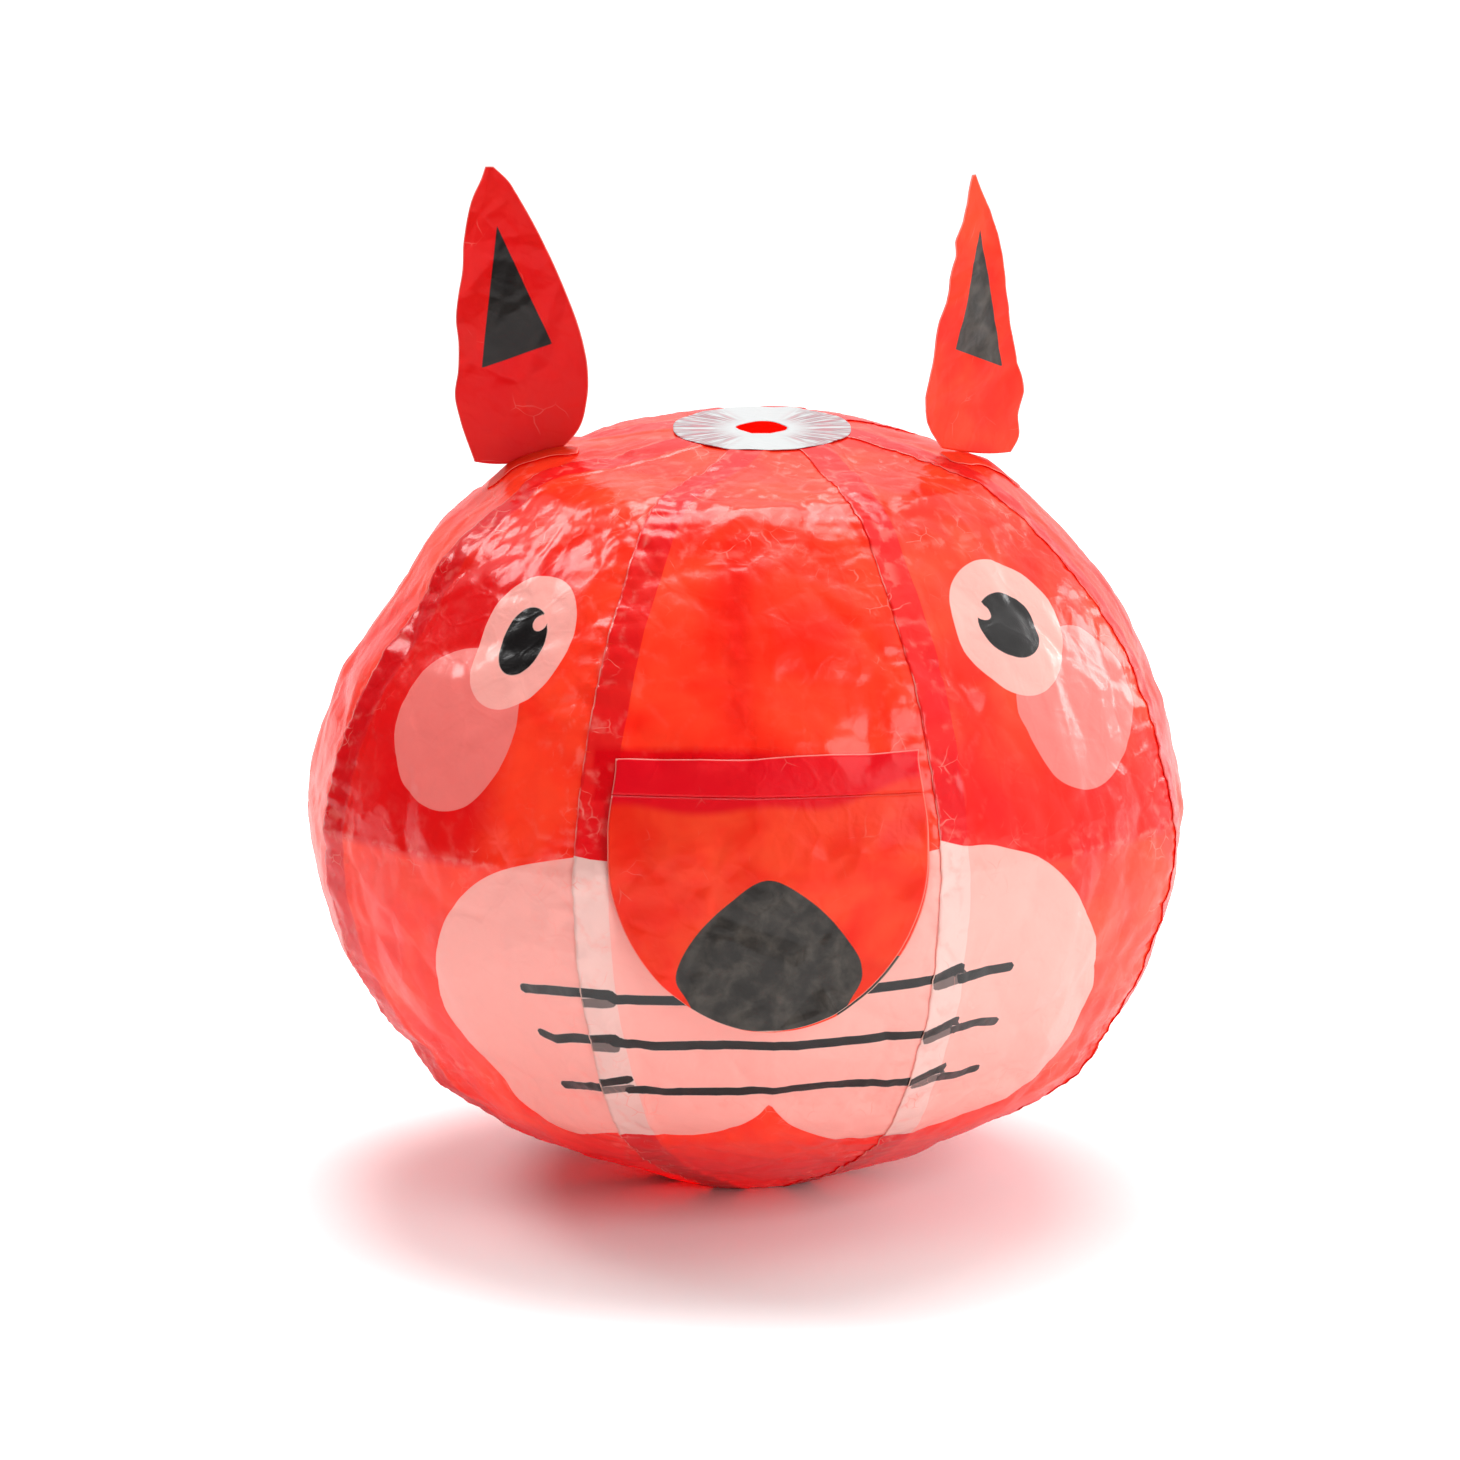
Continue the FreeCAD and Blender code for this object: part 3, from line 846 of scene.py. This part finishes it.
def make_gore(index, name, material):
    """One gore: its left margin lies over its neighbour's right margin, which runs under it."""
    printed = name in FACES
    cells = (96, 290) if printed else (72, 210)

    def shape(u, v):
        down = v * GORE_LENGTH
        width = math.radians(SECTOR) * seam_radius(down)
        from_edge = u * (width + LAP)
        turn = FRONT_SEAM + SECTOR * (index + from_edge / width)
        across = from_edge - width / 2
        out, wear, ridge = crumple(turn, down)
        fold = 0.3 * np.exp(-np.abs(across - LAP / 2) / 2.5) * smooth(down, 20, 60)
        out = out + fold * (from_edge < width) + LIFT * smooth(LAP + 2.2 - from_edge, 0, 1.8)
        marks = {key: np.full(len(u), NO_PRINT) for key in ("pale", "rose", "dark", "ghost")}
        # Painted shade: deeper red towards the base.
        marks |= {"margin": from_edge, "wear": wear, "ridge": ridge, "painted_shade": smooth(down, 218, 250)}
        if printed:
            face = FACES[name](across, down - CREASES[3] + PRINT_EQUATOR)
            face["painted_shade"] = np.maximum(face.get("painted_shade", 0), marks["painted_shade"])
            marks |= face
        return ball(turn, down, out), marks

    return paper_sheet(f"{name}_sheet", name, "balloon", material, cells, shape)


# ---- the pole discs ----------------------------------------------------------------------------

DISC_RADIUS = 22.3


def blow_hole(angle):
    """The hole's hand-cut outline: a flat front edge and a lobed back."""
    lobes = 5.7 + 1.5 * np.clip(np.sin(angle), 0, None) ** 0.7 + 0.45 * np.cos(4 * angle + 0.5)
    to_front_edge = 5.2 / np.maximum(np.sin(-angle), 0.05)
    return np.where(np.sin(angle) < 0, np.minimum(lobes, to_front_edge), lobes)


def make_disc(name, material, height, inner, upwards):
    """A disc glued over a pole. The crown's, which faces upwards, has shallow radial ripples."""

    def shape(u, v):
        angle = u * 2 * math.pi
        edge = DISC_RADIUS * (1 - 0.018 * (1 - np.cos(len(GORES) * angle + math.pi)) / 2)
        hole = inner(angle)
        radius = hole + (edge - hole) * v
        ripple = 0.16 * np.sin(11 * angle + 1.3) + 0.12 * np.sin(17 * angle)
        z = height + upwards * (0.12 + 0.5 * ripple) * smooth(radius, 8, 20)
        points = np.stack([radius * np.cos(angle), radius * np.sin(angle), z], 1)
        # Where the painted reflection lies: the disc's left and right sides, away from the hole.
        sides = smooth(np.abs(np.cos(angle)), 0.35, 0.7)
        return (settle(points) if upwards > 0 else points), {"shade": sides * smooth(radius, 7, 14)}

    cells = (192, 28)
    return paper_sheet(f"{name}_sheet", name, "balloon", material, cells, shape, closed=True)


def add_round_uv(piece):
    """A UV map of angle and radius, so that the streaks run outwards from the pole."""
    layer = piece.data.uv_layers.new(name="round")
    on_crown = piece.data.vertices[0].co.z > EQUATOR_HEIGHT * MM
    centre = Vector((CROWN_SHIFT * MM, 0)) if on_crown else Vector((0, 0))
    for loop in piece.data.loops:
        place = piece.data.vertices[loop.vertex_index].co.xy - centre
        angle = math.atan2(abs(place.y), abs(place.x))
        layer.data[loop.index].uv = (angle * 2.4, place.length / (DISC_RADIUS * MM) * 0.25)


# ---- the ears ----------------------------------------------------------------------------------

EAR_LENGTH = 72.0

# Each side of an ear as (across, up) from its fold line's middle, from the foot to the tip. The
# inner side is the one nearer the balloon's middle.
LEFT_EAR_INNER = [(9.7, 1.6), (13.4, 5.6), (16.2, 14), (16.4, 23), (15.4, 28.4), (9.4, 45.2), (2.9, 58.5)]
LEFT_EAR_INNER += [(-0.6, 64.6), (-2.8, 68), (-6.4, 71.4)]
LEFT_EAR_OUTER = [(-11.7, -1.6), (-15, 8.4), (-16.3, 15.6), (-15.5, 21), (-15.3, 28.4), (-15.8, 34)]
LEFT_EAR_OUTER += [(-15.2, 40), (-14.2, 45.2), (-13.6, 54), (-11.3, 64.4), (-9.4, 68.4), (-8.4, 71.4)]
RIGHT_EAR_OUTER = [(14, -1), (16.3, 2), (16, 9.5), (16.8, 14.5), (14.6, 23), (12, 32), (11.4, 37), (9.9, 42)]
RIGHT_EAR_OUTER += [(8.9, 48.3), (7.2, 57), (5.6, 61), (2, 68), (0.7, 71.2)]
RIGHT_EAR_INNER = [(-9.4, 2.6), (-13.6, 8.3), (-15.2, 19.6), (-13.2, 26.6), (-12.8, 33.3), (-9, 43), (-8, 48)]
RIGHT_EAR_INNER += [(-6.7, 51.6), (-6.6, 55), (-3.7, 60.2), (-2, 66), (-0.6, 71.2)]
LEFT_EAR_SAG = 7.2
RIGHT_EAR_SAG = 3.5
LEFT_EAR_PRINT = [(-5.6, 57), (-9.6, 21.9), (7.8, 28.1)]
RIGHT_EAR_PRINT = [(1.6, 57.6), (-6.2, 27.9), (9.6, 21.9)]

CROWN_SLOPE = math.atan2(SHOULDER_DROP, (SHOULDER_RADIUS - RIM_RADIUS) * CAD_FACET)


def ear_frame(joint):
    """The fold line's middle, and the ear's level, upward and front directions. The ear stands
    square on the crown's slope."""
    hinge, axis = np.array(joint["pos_m"]) / MM, np.array(joint["axis"])
    slope = np.array([math.copysign(math.sin(CROWN_SLOPE), hinge[0]), 0, math.cos(CROWN_SLOPE)])
    level = slope[2] * axis - axis[2] * slope
    upward = axis[2] * axis + slope[2] * slope
    level, upward = level / np.linalg.norm(level), upward / np.linalg.norm(upward)
    return hinge, level, upward, np.cross(level, upward)


def edge_at(edge, height):
    """How far across an edge is at a height. The edge is smooth through its points."""
    heights = np.array([point[1] for point in edge])
    reaches = np.array([point[0] for point in edge])
    slopes = np.gradient(reaches, heights)
    i = np.clip(np.searchsorted(heights, height) - 1, 0, len(heights) - 2)
    span = heights[i + 1] - heights[i]
    t = np.clip((height - heights[i]) / span, 0, 1)
    return (
        (2 * t**3 - 3 * t**2 + 1) * reaches[i]
        + (t**3 - 2 * t**2 + t) * span * slopes[i]
        + (3 * t**2 - 2 * t**3) * reaches[i + 1]
        + (t**3 - t**2) * span * slopes[i + 1]
    )


def make_ear(side, edges, sag, ink, material):
    """Two leaves glued back to back that stand up from the fold line. The foot hangs a quarter of
    sag below the line between its corners. The outline is drawn plumb over the fold."""
    hinge, level, upward, front = ear_frame(JOINTS[f"{side}_ear_fold"])
    left_edge, right_edge = edges
    for leaf, offset in (("front", 0.5), ("back", -0.5)):

        def shape(u, v):
            foot = left_edge[0][1] + (right_edge[0][1] - left_edge[0][1]) * u - sag * u * (1 - u)
            tip = left_edge[-1][1] + (right_edge[-1][1] - left_edge[-1][1]) * u
            height = foot + (tip - foot) * v
            left, right = edge_at(left_edge, height), edge_at(right_edge, height)
            across = left + (right - left) * u
            plumb = across - height * upward[0] / level[0]
            flat = hinge + plumb[:, None] * level + height[:, None] * upward
            wave = 1.3 * (facets(flat, 19, 4) - 0.5) + 0.3 * (facets(flat, 7, 5) - 0.5)
            cup = 1.2 * np.sin(height / EAR_LENGTH * math.pi) + 0.002 * across**2
            out = (wave * smooth(height, 0, 14) + cup * smooth(height, 0, 20)) + offset * (PAPER + 0.03)
            rim = np.minimum(np.minimum(u, 1 - u) * (right - left), np.abs(tip - height))
            marks = {"dark": patch(across, height, np.array(ink)), "margin": rim}
            marks["glued"] = np.full(len(u), NO_PRINT)
            # Painted shade: the left ear's paper and print are deeper all over, the right ear's are not.
            marks["painted_shade"] = np.full(len(u), 0.85 if side == "left" else 0.0)
            if leaf == "back":
                marks["dark"] = np.full(len(u), NO_PRINT)
            return flat + out[:, None] * front, marks

        name = f"{side}_ear_{leaf}_leaf"
        paper_sheet(f"{name}_sheet", name, f"{side}_ear", material, (60, 140), shape)


def make_ear_tab(side, material):
    """The tab beside the fold line, glued down on the ball."""
    name = f"{side}_ear_tab"
    level, _, front = ear_frame(JOINTS[f"{side}_ear_fold"])[1:]
    low, high = (np.array(corner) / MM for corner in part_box(name))
    middle = (low + high) / 2

    def shape(u, v):
        across = (u - 0.5) * (24.6 - 3 * smooth(np.abs(v - 0.5), 0.3, 0.5))
        depth = (v - 0.5) * 8.2 + 0.35 * np.sin(across * 0.7)
        flat = middle + across[:, None] * level + depth[:, None] * front
        turn, down = over_crown(flat[:, 0], flat[:, 1])
        rim = np.minimum(np.minimum(u, 1 - u) * 24, np.minimum(v, 1 - v) * 8)
        marks = {"dark": np.full(len(u), NO_PRINT), "margin": rim, "glued": np.full(len(u), NO_PRINT)}
        return ball(turn, down, crumple(turn, down)[0] + LIFT + 0.25), marks

    paper_sheet(f"{name}_sheet", name, "balloon", material, (50, 18), shape)


# ---- the snout flap ----------------------------------------------------------------------------

SNOUT_HALF_WIDTH = 37.2
SNOUT_END = 64.6
SNOUT_ROUND_FROM = 104.0
HINGE_HEIGHT = JOINTS["snout_lift"]["pos_m"][2] / MM
FLAP_OUT = 1.05
FOLD_OUT = 0.12
NOSE = [
    (2.8, 100.6),
    (13.6, 94.4),
    (21.6, 85),
    (24.3, 79),
    (22.6, 73),
    (12, 60),
    (-8, 60),
    (-16.2, 71.6),
    (-18.9, 77.6),
    (-14.9, 86.3),
    (-6.2, 95.4),
]


def snout_half_width(height):
    """Half the flap's width: it swells a little under the fold and then rounds in to its end."""
    t = np.clip((SNOUT_ROUND_FROM - height) / (SNOUT_ROUND_FROM - SNOUT_END), 0, 1)
    rounded = SNOUT_HALF_WIDTH * np.sqrt(np.clip(1 - t**1.85, 0, 1))
    return rounded - 1.9 * smooth(height, 110, HINGE_HEIGHT + 8)


def glue_depth(across, height):
    """Positive where the flap is stuck to its strip: down to a wavy line."""
    line = 116.2 + 0.9 * np.sin(across / 5.5 + 1) + 5.5 * smooth(across, 8, 38)
    return height - line


def make_snout(material):
    """The strip that is glued to the ball, and two leaves that hang from it."""

    def strip(u, v):
        height = HINGE_HEIGHT + FOLD_OUT + 8.5 * v
        x = (2 * u - 1) * snout_half_width(height) + SNOUT_SHIFT
        height = height + (1.6 * u - 0.7 + 0.15 * np.sin(x / 6)) * v
        turn, down = on_face(x, height)
        snug = crumple(turn, down)[0] + LIFT + 0.3
        out = FOLD_OUT + (snug - FOLD_OUT) * smooth(v, 0, 0.7)
        rim = np.minimum(np.minimum(u, 1 - u) * 70, (1 - v) * 8.4)
        marks = {"dark": np.full(len(u), NO_PRINT), "margin": rim, "glued": glue_depth(x, height)}
        return ball(turn, down, out), marks

    name = "snout_glue_strip"
    paper_sheet(f"{name}_sheet", name, "balloon", material, (110, 14), strip)
    for leaf, behind, slip in (("front", 0.0, 0.0), ("back", 0.16, 0.7)):

        def shape(u, v):
            end = SNOUT_END - slip * 0.4
            height = end + (HINGE_HEIGHT - 0.06 - end) * (1 - np.cos(v * math.pi / 2))
            across = (2 * u - 1) * snout_half_width(height + (SNOUT_END - end))
            x = across + SNOUT_SHIFT + slip * smooth(HINGE_HEIGHT - height, 0, 40)
            below = HINGE_HEIGHT - height
            flat = np.stack([x, 0 * x, height], 1)
            wave = 1.5 * (facets(flat, 21, 8) - 0.5) + 0.35 * (facets(flat, 8, 9) - 0.5)
            hang = 0.7 * np.sin(below / 55 * math.pi) + 1.2 * (below / 55) ** 3
            out = FOLD_OUT - behind + (FLAP_OUT - FOLD_OUT) * smooth(below, 0, 16)
            touching = ball(*on_face(x, np.maximum(height, EQUATOR_HEIGHT + 3)), out)
            y = touching[:, 1] - hang - wave * smooth(below, 2, 16)
            rim = np.minimum(np.minimum(u, 1 - u) * 2 * snout_half_width(height), (height - end) * 1.2)
            marks = {"margin": rim, "glued": glue_depth(x, height)}
            marks["dark"] = patch(x, height, smooth_outline(NOSE))
            if leaf == "back":
                marks["dark"] = np.where((x > 18) & (height < 82), 1.0, NO_PRINT)
            return np.stack([x, y, height], 1), marks

        name = f"snout_{leaf}_leaf"
        cells = (110, 110)
        paper_sheet(f"{name}_sheet", name, "snout", material, cells, shape)


# ---- the balloon -------------------------------------------------------------------------------

add_camera()
add_floor()
add_studio()

glassine = printed_glassine()
for gore_index, gore_name in enumerate(GORES):
    make_gore(gore_index, gore_name, glassine)

silver = silvered_paper()
crown_disc = make_disc("crown_disc", silver, CROWN_HEIGHT + 0.42, blow_hole, 1)
base_disc = make_disc("base_disc", silver, 0.12, lambda angle: 0 * angle, 0)
for disc in (crown_disc, base_disc):
    add_round_uv(disc)

paper = dyed_paper()
make_ear("left", (LEFT_EAR_OUTER, LEFT_EAR_INNER), LEFT_EAR_SAG, LEFT_EAR_PRINT, paper)
make_ear("right", (RIGHT_EAR_INNER, RIGHT_EAR_OUTER), RIGHT_EAR_SAG, RIGHT_EAR_PRINT, paper)
for ear_side in ("left", "right"):
    make_ear_tab(ear_side, paper)
make_snout(paper)
